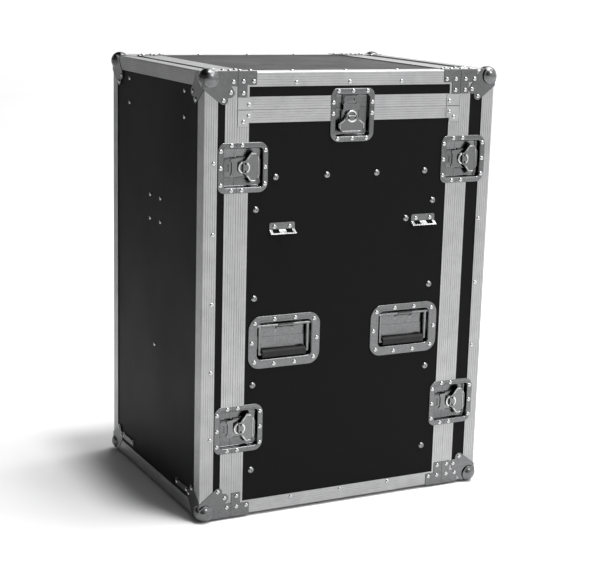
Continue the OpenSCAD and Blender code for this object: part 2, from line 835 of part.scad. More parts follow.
module body_rivets() {
    edge_x_spots = [for (i = [-1:1]) (xf + xr) / 2 + i * 120];
    color(zinc) {
        for (i = concat(FRONT, TOP)) at_latch(LATCHES[i]) rivets(wing_rivets());
        for (i = REAR) at_latch(LATCHES[i]) rivets(keeper_rivets());
        for (h = HANDLES) at_handle(h) rivets(concat(
            [for (u = [-69, 69], v = [-41.5, 41.5]) [u, v, plate_t]],
            [for (u = [-24, 24], v = [-48, 48]) [u, v, plate_t]],
            [for (u = [-75.5, 75.5]) [u, 0, plate_t]]
        ));
        for (sy = [-1, 1]) {
            on_wall(sy) rivets([for (x = edge_x_spots) [x, z0 + 22.5, 0]]);
            on_wall(sy, board_out) rivets([for (x = hook_x, s = [-17.4, 17.4]) [x + s, hook_z + 7, 1.5]]);
            on_top(-1) rivets([for (x = edge_x_spots) [x, sy * (y1 - 22.5), 0]]);
        }
        for (end = [[xf, 1], [xr, -1]]) brace_rivets(end[0], end[1], [-1], brace_holes());
        joint_rivets(-1);
    }
}

// ---------- end lids: sx is -1 for the front lid and 1 for the rear lid ----------

// Seam plane of the lid, and the x that lies d from it on the lid's side
function lid_x(sx, d) = (sx < 0 ? xf : xr) + sx * d;

module lid_ring(sx, a, b, out, in) {
    ring_x(min(lid_x(sx, a), lid_x(sx, b)), max(lid_x(sx, a), lid_x(sx, b)), out, in);
}

module end_lid_shell(sx) {
    mouth = lid_x(sx, half_gap + lid_web);
    back = sx * (x1 - board_out);
    inner = sx * (x1 - board_in);
    color(ply) difference() {
        box([min(mouth, back), y0 + board_out, z0 + board_out],
            [max(mouth, back), y1 - board_out, z1 - board_out]);
        box([min(mouth - sx * eps, inner), y0 + board_in, z0 + board_in],
            [max(mouth - sx * eps, inner), y1 - board_in, z1 - board_in]);
        latch_cuts();
    }
}

module end_lid_profiles(sx) {
    start = lid_x(sx, half_gap);
    far = sx * (x1 - angle_w);
    color(alu) difference() {
        union() {
            for (s = [-1, 1]) {
                edge_z(sx, s);
                edge_y(sx, s);
                leg_upright(start, sx, s, z0 + angle_w, z1 - angle_w);
                leg_across(start, sx, s);
                for (t = [-1, 1]) edge_x(min(start, far), max(start, far), s, t);
            }
            lid_ring(sx, half_gap, half_gap + lid_web, board_out, liner_in);
            lid_ring(sx, half_gap + lid_web, half_gap + liner_l, board_in, liner_in);
        }
        lid_ring(sx, half_gap - eps, half_gap + groove_d,
                 tongue_mid - groove_t / 2, tongue_mid + groove_t / 2);
        latch_cuts();
    }
}

module end_lid_fittings(sx) {
    color(zinc) {
        ball_corners(sx);
        braces(lid_x(sx, 0), sx, sx, [-1, 1], sx < 0 ? brace_w + 3 : brace_leg);
        hang_plates(sx);
        for (i = sx < 0 ? FRONT : REAR) at_latch(LATCHES[i]) {
            if (sx < 0) keeper_half();
            else wing_half();
        }
    }
}

module end_lid_rivets(sx) {
    color(zinc) {
        corner_rivets(sx);
        brace_rivets(lid_x(sx, 0), sx, [-1, 1],
                     sx < 0 ? [[9.6, 20.2]] : brace_holes());
        hang_rivets(sx);
        face_rivets(sx);
        for (sy = [-1, 1]) on_wall(sy)
            rivets([for (i = sx < 0 ? [-2:2] : [-1:1]) [sx * (x1 - 22.5), z0 + 461 + i * 144, 0]]);
        for (i = sx < 0 ? FRONT : REAR) at_latch(LATCHES[i])
            rivets(sx < 0 ? keeper_rivets() : wing_rivets());
    }
}

// ---------- top lid ----------

module top_lid_shell() {
    end = half_gap + skin_t;
    color(ply) difference() {
        box([xf + end, y0 + board_out, zt + half_gap + lid_web],
            [xr - end, y1 - board_out, z1 - board_out]);
        box([xf + end + board_t, y0 + board_in, zt],
            [xr - end - board_t, y1 - board_in, z1 - board_in]);
        latch_cuts();
    }
}

module top_lid_profiles() {
    end = half_gap + skin_t;
    module band(a, b, za, zb) {
        difference() {
            box([xf + half_gap + a, y0 + a, za], [xr - half_gap - a, y1 - a, zb]);
            box([xf + half_gap + b, y0 + b, za - eps], [xr - half_gap - b, y1 - b, zb + eps]);
        }
    }
    color(alu) difference() {
        union() {
            for (sy = [-1, 1]) {
                edge_x(xf + end, xr - end, sy, 1);
                leg_level(zt + half_gap, 1, sy, xf + rim_w, xr - rim_w);
            }
            for (e = [[xf, 1], [xr, -1]]) {
                leg_across(e[0] + e[1] * half_gap, e[1], 1);
                for (sy = [-1, 1])
                    leg_upright(e[0] + e[1] * half_gap, e[1], sy, zt + half_gap, z1 - angle_w);
                translate([e[0], 0, 0]) flip([1, 0, 0], e[1] < 0) {
                    box([half_gap, y0, z1 - rim_w], [end, y1, z1]);
                    for (sy = [-1, 1]) flip([0, 1, 0], sy > 0)
                        box([half_gap, y0, zt + half_gap], [end, y0 + rim_w, z1 - rim_w]);
                }
            }
            band(skin_t, liner_in, zt + half_gap, zt + half_gap + lid_web);
            band(board_in, liner_in, zt + half_gap + lid_web, zt + half_gap + liner_l);
        }
        for (sy = [-1, 1]) flip([0, 1, 0], sy > 0)
            box([xf + 2, y0 + tongue_mid - groove_t / 2, zt],
                [xr - 2, y0 + tongue_mid + groove_t / 2, zt + half_gap + groove_d]);
        latch_cuts();
    }
}

module top_lid_fittings() {
    color(zinc) {
        braces(xf, 1, 0, [1]);
        braces(xr, -1, 0, [1]);
        for (i = TOP) at_latch(LATCHES[i]) keeper_half();
    }
    color(alu) joint_plates(1);
}

module top_lid_rivets() {
    edge_spots = [for (i = [-1:1]) (xf + xr) / 2 - 8 + i * 123];
    color(zinc) {
        for (end = [[xf, 1], [xr, -1]]) brace_rivets(end[0], end[1], [1], brace_holes());
        for (sy = [-1, 1]) {
            on_wall(sy) rivets([for (x = edge_spots) [x, z1 - 22.5, 0]]);
            on_top(1) rivets([for (x = edge_spots) [x, sy * (y1 - 22.5), 0]]);
        }
        for (i = TOP) at_latch(LATCHES[i]) rivets(keeper_rivets());
        joint_rivets(1);
    }
}

// ---------- nodes ----------

side_wall(-1);  // side_wall_near
side_wall(1);  // side_wall_far
floor_panel();
body_profiles();
rack_rails();
rail_fasteners();
handle_dishes();
body_latch_dishes();
body_fittings();
body_rivets();
end_lid_shell(-1);  // front_lid_shell
end_lid_profiles(-1);  // front_lid_profiles
end_lid_fittings(-1);  // front_lid_fittings
end_lid_rivets(-1);  // front_lid_rivets
end_lid_shell(1);  // rear_lid_shell
end_lid_profiles(1);  // rear_lid_profiles
end_lid_fittings(1);  // rear_lid_fittings
end_lid_rivets(1);  // rear_lid_rivets
top_lid_shell();
top_lid_profiles();
top_lid_fittings();
top_lid_rivets();
for (h = HANDLES) at_handle(h) handle_bail();
for (h = HANDLES) at_handle(h) handle_grip();
for (l = LATCHES)
    at_latch(l) latch_spindle();
for (l = LATCHES) at_latch(l) latch_wing();
for (l = LATCHES) at_latch(l) latch_hook();
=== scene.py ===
import json
import math
import re

import bmesh
import bpy
from mathutils import Matrix, Vector

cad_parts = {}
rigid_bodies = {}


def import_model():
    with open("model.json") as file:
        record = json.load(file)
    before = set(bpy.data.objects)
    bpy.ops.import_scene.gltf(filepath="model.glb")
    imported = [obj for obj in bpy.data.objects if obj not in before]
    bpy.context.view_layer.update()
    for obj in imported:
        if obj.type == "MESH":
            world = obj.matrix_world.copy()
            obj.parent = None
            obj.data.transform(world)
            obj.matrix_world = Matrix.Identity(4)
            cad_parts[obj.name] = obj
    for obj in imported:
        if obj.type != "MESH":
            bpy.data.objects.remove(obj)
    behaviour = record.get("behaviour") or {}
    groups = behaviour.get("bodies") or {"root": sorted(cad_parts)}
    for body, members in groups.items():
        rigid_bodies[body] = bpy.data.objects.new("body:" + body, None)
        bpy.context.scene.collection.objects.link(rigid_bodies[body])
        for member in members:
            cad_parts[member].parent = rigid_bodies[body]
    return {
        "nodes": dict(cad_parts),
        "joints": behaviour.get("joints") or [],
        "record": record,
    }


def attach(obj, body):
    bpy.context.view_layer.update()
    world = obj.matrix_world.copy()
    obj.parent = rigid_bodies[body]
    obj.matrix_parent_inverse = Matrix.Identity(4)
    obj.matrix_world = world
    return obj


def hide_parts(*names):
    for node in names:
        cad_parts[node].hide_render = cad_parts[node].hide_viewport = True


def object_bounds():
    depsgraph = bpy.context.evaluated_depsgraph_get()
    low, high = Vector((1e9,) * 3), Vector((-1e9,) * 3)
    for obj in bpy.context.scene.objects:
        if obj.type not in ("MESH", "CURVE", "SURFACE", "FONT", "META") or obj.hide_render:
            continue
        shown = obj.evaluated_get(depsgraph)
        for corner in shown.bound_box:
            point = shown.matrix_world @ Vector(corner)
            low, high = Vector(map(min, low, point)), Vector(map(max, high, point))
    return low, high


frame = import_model()
CAD_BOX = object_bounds()
NODES = frame["nodes"]
JOINTS = {j["name"]: j for j in frame["joints"]}
MM = 0.001

# ---------- materials ----------


class Shader:
    """One material's node tree round a Principled shader."""

    def __init__(self, name, **sockets):
        self.material = bpy.data.materials.new(name)
        self.material.use_nodes = True
        self.tree = self.material.node_tree
        self.bsdf = self.tree.nodes["Principled BSDF"]
        for key, value in sockets.items():
            self.bsdf.inputs[key].default_value = value
        self.place = self.add("ShaderNodeTexCoord").outputs["Object"]

    def add(self, kind, **settings):
        node = self.tree.nodes.new(kind)
        for key, value in settings.items():
            setattr(node, key, value)
        return node

    def link(self, a, b):
        self.tree.links.new(a, b)

    def stretched(self, factors):
        node = self.add("ShaderNodeMapping")
        node.inputs["Scale"].default_value = factors
        self.link(self.place, node.inputs["Vector"])
        return node.outputs["Vector"]

    def noise(self, scale, detail=3.0, rough=0.5, stretch=None, distortion=0.0):
        node = self.add("ShaderNodeTexNoise")
        node.inputs["Scale"].default_value = scale
        node.inputs["Detail"].default_value = detail
        node.inputs["Roughness"].default_value = rough
        node.inputs["Distortion"].default_value = distortion
        self.link(self.stretched(stretch) if stretch else self.place, node.inputs["Vector"])
        return node.outputs["Fac"]

    def ramp(self, source, low, high, to_low=0.0, to_high=1.0):
        node = self.add("ShaderNodeMapRange")
        for key, value in zip(("From Min", "From Max", "To Min", "To Max"),
                              (low, high, to_low, to_high)):
            node.inputs[key].default_value = value
        self.link(source, node.inputs["Value"])
        return node.outputs["Result"]

    def math(self, operation, a, b):
        node = self.add("ShaderNodeMath", operation=operation)
        for source, socket in zip((a, b), node.inputs):
            if isinstance(source, (int, float)):
                socket.default_value = source
            else:
                self.link(source, socket)
        return node.outputs["Value"]

    def colours(self, factor, a, b):
        node = self.add("ShaderNodeMix", data_type="RGBA")
        for socket, colour in ((node.inputs[6], a), (node.inputs[7], b)):
            if isinstance(colour, tuple):
                socket.default_value = (*colour, 1.0)
            else:
                self.link(colour, socket)
        self.link(factor, node.inputs[0])
        return node.outputs[2]

    def colour(self, source):
        self.link(source, self.bsdf.inputs["Base Color"])

    def roughness(self, source):
        self.link(source, self.bsdf.inputs["Roughness"])

    def bump(self, source, distance, strength=1.0, under=None):
        node = self.add("ShaderNodeBump")
        node.inputs["Strength"].default_value = strength
        node.inputs["Distance"].default_value = distance
        self.link(source, node.inputs["Height"])
        if under:
            self.link(under, node.inputs["Normal"])
        return node.outputs["Normal"]

    def normal(self, source):
        self.link(source, self.bsdf.inputs["Normal"])


def laminate(name, dark, light):
    """Black phenolic laminate: a fine pebbled skin, faint rubbed patches and hairline scratches."""
    s = Shader(name, IOR=1.45)
    s.bsdf.inputs["Specular IOR Level"].default_value = 0.03
    patches = s.ramp(s.noise(3.5, 5.0, 0.6), 0.35, 0.7)
    specks = s.ramp(s.noise(1400.0, 2.0), 0.35, 0.75)
    s.colour(s.colours(s.math("MULTIPLY", specks, 0.6), dark, light))
    scratch_a = s.ramp(s.noise(9.0, 3.0, 0.6, (1.0, 1.0, 60.0)), 0.66, 0.72)
    scratch_b = s.ramp(s.noise(7.0, 3.0, 0.6, (55.0, 40.0, 1.0)), 0.68, 0.74)
    marks = s.math("MAXIMUM", scratch_a, scratch_b)
    level = s.ramp(patches, 0.0, 1.0, 0.34, 0.46)
    s.roughness(s.math("ADD", level, s.math("MULTIPLY", marks, 0.12)))
    pebble = s.bump(s.noise(950.0, 3.0, 0.6), 0.00012, 0.35)
    s.normal(s.bump(marks, 0.00005, 0.2, pebble))
    return s.material


# reach of the painted shade in hollows
HOLLOW_SHADE_REACH = 0.0015
# reach of the painted highlight on convex edges
EDGE_HIGHLIGHT_REACH = 0.0009
# how dark the painted shade in hollows gets, as a share of the dark tone
HOLLOW_SHADE_TONE = 0.22
CAST_DEPTH = 0.0002


def metal(name, dark, light, rough, mottle, grain=None, spread=0.08, scratch=0.3, edge_highlight=None):
    """Bare or plated metal: mottling, fine tooth and scratches, with painted shade darkening its
    hollows.

    grain draws lines along the metal; the last argument is the colour of a painted highlight on its
    convex edges.
    """
    s = Shader(name, Metallic=1.0)
    tone = s.noise(mottle, 4.0, 0.62, distortion=0.4)
    clean = s.colours(s.ramp(tone, 0.3, 0.7), dark, light)
    # painted shade: ambient occlusion darkens the colour in hollows, grooves and rivet pits, where shade
    # falls
    hollow = s.add("ShaderNodeAmbientOcclusion", samples=6)
    hollow.inputs["Distance"].default_value = HOLLOW_SHADE_REACH
    painted_shade = s.ramp(hollow.outputs["AO"], 0.45, 0.9)
    shown = s.colours(painted_shade, tuple(HOLLOW_SHADE_TONE * c for c in dark), clean)
    # painted highlight: inside ambient occlusion finds convex edges and brightens their colour
    if edge_highlight:
        rim = s.add("ShaderNodeAmbientOcclusion", samples=6, inside=True)
        rim.inputs["Distance"].default_value = EDGE_HIGHLIGHT_REACH
        shown = s.colours(s.ramp(rim.outputs["AO"], 0.75, 0.4), shown, edge_highlight)
    s.colour(shown)
    smudge = s.ramp(s.noise(14.0, 4.0, 0.6), 0.3, 0.72, -spread, spread)
    tooth = s.noise(2600.0, 2.0)
    level = s.math("ADD", smudge, rough)
    if grain:
        lines = s.noise(90.0, 4.0, 0.7, grain)
        level = s.math("ADD", level, s.ramp(lines, 0.3, 0.7, -0.05, 0.07))
        under = s.bump(lines, CAST_DEPTH, 0.3)
    else:
        under = s.bump(s.noise(mottle * 3, 3.0), CAST_DEPTH, 0.25)
    marks = s.ramp(s.noise(30.0, 4.0, 0.7, (9.0, 1.0, 0.7)), 0.68, 0.74)
    level = s.math("ADD", level, s.math("MULTIPLY", marks, 0.1))
    s.roughness(level)
    under = s.bump(tooth, 0.00003, 0.3, under)
    s.normal(s.bump(marks, 0.00005, scratch, under))
    return s.material


def rubber(name):
    s = Shader(name, IOR=1.5)
    dust = s.ramp(s.noise(45.0, 5.0, 0.7), 0.45, 0.8)
    s.colour(s.colours(dust, (0.004, 0.004, 0.004), (0.011, 0.011, 0.011)))
    s.bsdf.inputs["Specular IOR Level"].default_value = 0.3
    s.roughness(s.ramp(s.noise(130.0, 3.0), 0.3, 0.7, 0.5, 0.68))
    s.normal(s.bump(s.noise(1500.0, 3.0), 0.0002, 0.4))
    return s.material


def floor_paint(name):
    s = Shader(name, Roughness=0.9)
    s.bsdf.inputs["Specular IOR Level"].default_value = 0.15
    s.colour(s.colours(s.noise(0.7, 2.0), (0.86, 0.86, 0.86), (0.9, 0.9, 0.9)))
    return s.material


MATERIALS = {
    "laminate_board": laminate("black_laminate", (0.006, 0.006, 0.0062), (0.012, 0.012, 0.0124)),
    "aluminium_profile": metal("anodised_aluminium", (0.305, 0.307, 0.31), (0.365, 0.365, 0.367), 0.4,
                               spread=0.04, mottle=25.0, scratch=0.15),
    "zinc_fittings": metal("zinc_plate", (0.085, 0.086, 0.088), (0.19, 0.191, 0.193), 0.2, mottle=620.0),
    "zinc_fasteners": metal("zinc_screw", (0.17, 0.172, 0.175), (0.3, 0.301, 0.303), 0.3, mottle=400.0),
    "rivets": metal("rivet_alloy", (0.38, 0.383, 0.387), (0.54, 0.54, 0.542), 0.2, mottle=260.0),
    "rail_steel": metal("rail_zinc", (0.27, 0.273, 0.278), (0.38, 0.382, 0.385), 0.34,
                        grain=(1.0, 30.0, 0.6), mottle=90.0),
    # the rod and plate metals below carry a painted highlight on their convex edges
    "handle_steel": metal("bright_rod", (0.13, 0.131, 0.133), (0.22, 0.221, 0.223), 0.2, mottle=300.0,
                          edge_highlight=(0.5, 0.502, 0.505)),
    "latch_steel": metal("bright_plate", (0.11, 0.111, 0.113), (0.2, 0.201, 0.203), 0.17, mottle=620.0,
                         edge_highlight=(0.55, 0.552, 0.555)),
    "grip_rubber": rubber("grip_rubber"),
}
SLOT_OF = {part["node"]: part["material_slot"] for part in frame["record"]["subparts"]}

# ---------- CAD nodes ----------

for name, obj in NODES.items():
    obj.data.materials.clear()
    obj.data.materials.append(MATERIALS[SLOT_OF[name]])


def give(obj, slot):
    obj.data.materials.clear()
    obj.data.materials.append(MATERIALS[slot])


def smooth_by_angle(name, degrees):
    """A node group that shades smooth and keeps edges sharper than the angle."""
    group = bpy.data.node_groups.new(name, "GeometryNodeTree")
    group.interface.new_socket("Geometry", in_out="INPUT", socket_type="NodeSocketGeometry")
    group.interface.new_socket("Geometry", in_out="OUTPUT", socket_type="NodeSocketGeometry")
    first, last = group.nodes.new("NodeGroupInput"), group.nodes.new("NodeGroupOutput")
    faces, edges = (group.nodes.new("GeometryNodeSetShadeSmooth") for _ in range(2))
    edges.domain = "EDGE"
    edges.inputs["Shade Smooth"].default_value = False
    angle = group.nodes.new("GeometryNodeInputMeshEdgeAngle")
    sharp = group.nodes.new("FunctionNodeCompare")
    sharp.data_type = "FLOAT"
    sharp.operation = "GREATER_THAN"
    sharp.inputs["B"].default_value = math.radians(degrees)
    for a, b in ((first.outputs[0], faces.inputs["Geometry"]),
                 (faces.outputs[0], edges.inputs["Geometry"]),
                 (angle.outputs["Unsigned Angle"], sharp.inputs["A"]),
                 (sharp.outputs[0], edges.inputs["Selection"]),
                 (edges.outputs[0], last.inputs[0])):
        group.links.new(a, b)
    return group


SMOOTH = smooth_by_angle("smooth_by_angle", 30.0)


def shade(obj):
    obj.modifiers.new("smooth", "NODES").node_group = SMOOTH


def crisp(obj, width, segments=2, angle=32.0):
    """Joins CAD triangles into whole faces, rounds their sharp edges and shades by angle."""
    obj.modifiers.new("weld", "WELD").merge_threshold = 0.000002
    flat = obj.modifiers.new("flat", "DECIMATE")
    flat.decimate_type = "DISSOLVE"
    flat.angle_limit = math.radians(0.4)
    if width:
        edge = obj.modifiers.new("edge", "BEVEL")
        edge.width = width
        edge.segments = segments
        edge.limit_method = "ANGLE"
        edge.angle_limit = math.radians(angle)
    shade(obj)
    if width:
        even = obj.modifiers.new("even", "WEIGHTED_NORMAL")
        even.keep_sharp = True


def islands(node):
    """The separate solids of a CAD node: points, faces, lowest and highest corner of each."""
    bm = bmesh.new()
    bm.from_mesh(NODES[node].data)
    bmesh.ops.remove_doubles(bm, verts=bm.verts, dist=0.000002)
    seen, found = set(), []
    for start in bm.verts:
        if start in seen:
            continue
        seen.add(start)
        group, queue = [], [start]
        while queue:
            vert = queue.pop()
            group.append(vert)
            for edge in vert.link_edges:
                other = edge.other_vert(vert)
                if other not in seen:
                    seen.add(other)
                    queue.append(other)
        number = {vert: i for i, vert in enumerate(group)}
        faces = {face for vert in group for face in vert.link_faces}
        points = [vert.co.copy() for vert in group]
        lo = Vector(min(p[k] for p in points) for k in range(3))
        hi = Vector(max(p[k] for p in points) for k in range(3))
        shapes = sorted([number[vert] for vert in face.verts] for face in faces)
        found.append((points, shapes, lo, hi))
    bm.free()
    return found


class Parts:
    """Gathers points and faces for one piece."""

    def __init__(self):
        self.points, self.faces = [], []

    def put(self, points, faces, place=None):
        first = len(self.points)
        self.points += [place @ Vector(p) for p in points] if place else [Vector(p) for p in points]
        self.faces += [[first + i for i in face] for face in faces]

    def piece(self, name, slot, body, replaces=()):
        mesh = bpy.data.meshes.new(name)
        mesh.from_pydata(self.points, [], self.faces)
        mesh.validate()
        obj = bpy.data.objects.new(name, mesh)
        bpy.context.scene.collection.objects.link(obj)
        give(obj, slot)
        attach(obj, body)
        if replaces:
            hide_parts(*replaces)
        return obj


def millimetres(points):
    return [Vector(p) * MM for p in points]


def scaled(shape):
    """A shape drawn in millimetres, in metres."""
    return millimetres(shape[0]), shape[1]


def loft(loops):
    """Points and faces through loops of equal length, capped at both ends."""
    size = len(loops[0])
    points = [p for loop in loops for p in loop]
    faces = []
    for k in range(len(loops) - 1):
        for i in range(size):
            j = (i + 1) % size
            faces.append([k * size + i, k * size + j, (k + 1) * size + j, (k + 1) * size + i])
    faces.append(list(range(size))[::-1])
    faces.append([(len(loops) - 1) * size + i for i in range(size)])
    return points, faces


def lathe(profile, steps=24, hexagon=()):
    """Turns (radius, height) pairs round the w axis; rows listed in hexagon get six sides."""
    loops = []
    for row, (radius, height) in enumerate(profile):
        loop = []
        for i in range(steps):
            angle = 2 * math.pi * i / steps
            r = radius
            if row in hexagon:
                sector = (angle + math.pi / 6) % (math.pi / 3) - math.pi / 6
                r = radius * math.cos(math.pi / 6) / math.cos(sector)
            loop.append((r * math.cos(angle), r * math.sin(angle), height))
        loops.append(loop)
    return loft(loops)


def tube(path, radius, steps=10):
    """A round wire along a list of points."""
    loops, side = [], None
    for i, point in enumerate(path):
        ahead = (path[min(i + 1, len(path) - 1)] - path[max(i - 1, 0)]).normalized()
        side = side or ahead.orthogonal()
        side = (side - ahead * side.dot(ahead)).normalized()
        other = ahead.cross(side)
        loops.append([point + radius * (math.cos(t) * side + math.sin(t) * other)
                      for t in (2 * math.pi * k / steps for k in range(steps))])
    return loft(loops)


def rounded(u0, u1, v0, v1, low_r, high_r, w, grow=0.0, steps=8):
    """A rounded rectangle at height w; low_r rounds the u0 end and high_r the u1 end."""
    loop = []
    corners = ((u1, v1, high_r, 0), (u0, v1, low_r, 90), (u0, v0, low_r, 180), (u1, v0, high_r, 270))
    for u, v, radius, start in corners:
        su, sv = (1 if u == u1 else -1), (1 if v == v1 else -1)
        r = max(radius + grow, 0.3)
        cu, cv = u + su * (grow - r), v + sv * (grow - r)
        for k in range(steps + 1):
            angle = math.radians(start + 90 * k / steps)
            loop.append((cu + r * math.cos(angle), cv + r * math.sin(angle), w))
    return loop


def axes_frame(origin, u, w):
    """The frame with its u and w along the given directions."""
    u, w = Vector(u).normalized(), Vector(w).normalized()
    v = w.cross(u)
    return Matrix.Translation(origin) @ Matrix((u, v, w)).transposed().to_4x4()


# ---------- rivets and screws ----------

RIVET = [(4.5, 0.0), (4.5, 0.35), (4.35, 0.75), (3.9, 1.2), (3.1, 1.65), (2.2, 1.93), (1.5, 2.0),
         (1.25, 1.85), (1.15, 1.3), (0.6, 1.22)]
MIDDLE = (Vector(CAD_BOX[0]) + Vector(CAD_BOX[1])) / 2


def facing(lo, hi):
    """For a flat round solid: its base point and outward direction."""
    size = hi - lo
    axis = min(range(3), key=lambda k: size[k])
    sign = 1 if (lo[axis] + hi[axis]) / 2 > MIDDLE[axis] else -1
    base = (lo + hi) / 2
    base[axis] = lo[axis] if sign > 0 else hi[axis]
    out = Vector((0, 0, 0))
    out[axis] = sign
    return base, out


SPIN = Vector((7919, 104729, 1299709))


def spin_of(place):
    """An angle that looks random but always comes out the same at one place."""
    return (place.x * SPIN.x + place.y * SPIN.y + place.z * SPIN.z) % (2 * math.pi)


def rivet_heads(node, body):
    parts = Parts()
    head = scaled(lathe(RIVET, 22))
    for _, _, lo, hi in islands(node):
        base, out = facing(lo, hi)
        frame_of = axes_frame(base, out.orthogonal(), out)
        parts.put(*head, frame_of @ Matrix.Rotation(spin_of(base), 4, "Z"))
    shade(parts.piece(node.replace("rivets", "rivet_heads"), "rivets", body, [node]))


for owner in ("body", "front_lid", "rear_lid", "top_lid"):
    rivet_heads(owner + "_rivets", "case" if owner == "body" else owner)

SCREW_HEAD = [(7.0, 0.0), (7.0, 0.5), (6.8, 1.0), (6.1, 1.95), (5.0, 2.9), (3.8, 3.55), (2.9, 3.9),
              (2.35, 3.98), (2.15, 3.8), (2.1, 2.0), (0.8, 1.8)]


SPACER_MIN = 0.0165
HEAD_HEIGHT = 0.004


def rail_screws():
    """Mushroom heads with hexagon sockets, their shanks, nuts and spacers."""
    parts = Parts()
    for points, faces, lo, hi in islands("rail_fasteners"):
        size = hi - lo
        sign = 1 if (lo.y + hi.y) > 0 else -1
        middle = (lo + hi) / 2
        if size.x > SPACER_MIN:
            parts.put(points, faces)
            continue
        face = hi.y - HEAD_HEIGHT if sign > 0 else lo.y + HEAD_HEIGHT
        tip = lo.y if sign > 0 else hi.y
        length = abs(face - tip) / MM
        place = axes_frame(Vector((middle.x, face, middle.z)), Vector((1, 0, 0)), Vector((0, sign, 0)))
        turn = Matrix.Rotation(spin_of(middle), 4, "Z")
        parts.put(*scaled(lathe(SCREW_HEAD, 30, (8, 9, 10))), place @ turn)
        shank = [(2.6, -length), (2.95, 0.6 - length), (2.95, 0.2)]
        parts.put(*scaled(lathe(shank, 16)), place)
        nut = [(5.0, -length), (5.75, 0.4 - length), (5.75, 4.6 - length), (5.0, 5 - length)]
        parts.put(*scaled(lathe(nut, 24, (0, 1, 2, 3))), place)
    shade(parts.piece("rail_screws", "zinc_fasteners", "case", ["rail_fasteners"]))


rail_screws()

# ---------- latches ----------

PAN = (-42.0, 43.0, -39.0, 39.0)
SEAM = -14.75
ROUNDED_EDGE = [(0.0, 0.3), (-0.15, 0.52), (-0.45, 0.74), (-0.9, 0.93), (-1.4, 1.07), (-2.0, 1.16),
                (-2.8, 1.2)]
HALF_GAP = 0.3
SPINDLE_U = 3


def latch_names():
    return sorted(m.group(1) for m in (re.fullmatch(r"latch_(.+)_turn", n) for n in JOINTS) if m)


def latch_frame(name):
    turn, hook = JOINTS[f"latch_{name}_turn"], JOINTS[f"latch_{name}_hook"]
    u = -Vector(hook["axis"])
    return axes_frame(Vector(turn["pos_m"]) - u * SPINDLE_U * MM, u, turn["axis"])


def bodies_of(name):
    """The bodies that carry the wing half and the keeper half of a latch's dish."""
    wing = JOINTS[f"latch_{name}_turn"]["parent"]
    if wing == "rear_lid":
        return wing, "case"
    return wing, "top_lid" if name.endswith("top") else "front_lid"


def dish_loops():
    """The pressed sheet of a latch dish: under the pan, over the rim and down to its floor."""
    def pan(grow, w):
        return rounded(*PAN, 6.0, 6.0, w, grow)

    def rim(grow, w):
        return rounded(-55.0, 55.0, -51.0, 51.0, 14.0, 20.0, w, grow)

    return [pan(-1.8, -13.0), pan(-0.2, -12.5), pan(0.7, -11.4), pan(1.0, -9.5), pan(1.0, -1.2),
            pan(1.6, -0.3), pan(2.4, 0.0), rim(-0.2, 0.0), rim(0.0, 0.2),
            *(rim(g, w) for g, w in ROUNDED_EDGE), pan(5.4, 1.2), pan(4.6, 1.32), pan(3.6, 1.65),
            pan(2.6, 1.72), pan(1.7, 1.45), pan(0.95, 0.8), pan(0.4, -0.2), pan(0.1, -1.4),
            pan(0.0, -2.6), pan(0.0, -9.2), pan(-0.35, -10.6), pan(-1.2, -11.5), pan(-2.4, -12.0)]


def cut_half(points, faces, at, keep_high):
    """Keeps what lies on one side of u = at and closes the cut."""
    bm = bmesh.new()
    verts = [bm.verts.new(p) for p in points]
    for face in faces:
        bm.faces.new([verts[i] for i in face])
    cut = bmesh.ops.bisect_plane(bm, geom=bm.verts[:] + bm.edges[:] + bm.faces[:], dist=1e-5,
                                 plane_co=(at, 0, 0), plane_no=(-1 if keep_high else 1, 0, 0),
                                 clear_outer=True)
    edges = [e for e in cut["geom_cut"] if isinstance(e, bmesh.types.BMEdge)]
    bmesh.ops.contextual_create(bm, geom=edges)
    bm.verts.index_update()
    out = [v.co.copy() for v in bm.verts], [[v.index for v in f.verts] for f in bm.faces]
    bm.free()
    return out


def keeper_block():
    """The raised keeper: a step and a rounded cap with a slot."""
    step = loft([rounded(-41, -20, -19, 19, 1.5, 1.5, w, g) for w, g in
                 ((-12.0, 0.0), (-9.9, 0.0), (-9.5, -0.15), (-9.4, -0.5))])
    cap = loft([rounded(-39, -22, -17, 17, 4, 4, -9.4), rounded(-39, -22, -17, 17, 4, 4, -7.9),
                rounded(-39, -22, -17, 17, 4, 4, -7.5, -0.2),
                rounded(-39, -22, -17, 17, 4, 4, -7.4, -0.6),
                rounded(-34, -29, -8, 8, 1.5, 1.5, -7.4, 0.5),
                rounded(-34, -29, -8, 8, 1.5, 1.5, -7.7, 0.0),
                rounded(-34, -29, -8, 8, 1.5, 1.5, -9.0, 0.0)])
    return step, cap


def guide(v):
    """A rail on the dish's floor that the hook slides along."""
    return loft([rounded(-9, 24, v - 1, v + 1, 0.4, 0.4, w, g) for w, g in
                 ((-12.0, 0.0), (-8.7, 0.0), (-8.4, -0.25))])


def latch_dishes():
    """Both halves of every latch's dish, gathered by the body that carries them."""
    full = loft(dish_loops())
    wing = [cut_half(*full, SEAM + HALF_GAP, True), guide(-20.2), guide(20.2)]
    keeper = [cut_half(*full, SEAM - HALF_GAP, False), *keeper_block()]
    halves = {}
    for name in latch_names():
        place = latch_frame(name)
        for body, shapes in zip(bodies_of(name), (wing, keeper)):
            for shape in shapes:
                halves.setdefault(body, Parts()).put(*scaled(shape), place)
    return halves


halves = latch_dishes()
shade(halves["case"].piece("latch_dishes_body", "zinc_fittings", "case", ["body_latch_dishes"]))
for kind in ("spindle", "wing", "hook"):
    for name in latch_names():
        crisp(NODES[f"latch_{kind}_{name}"], 0.00028)

WING_BEAD = [(10.5, 17), (11.5, 18.2), (17.8, 25.8), (19.6, 27), (29.2, 27), (30.6, 26.3), (32.8, 23.8),
             (33.4, 22.3), (33.4, 0)]
BOSS_RADIUS = 10.95


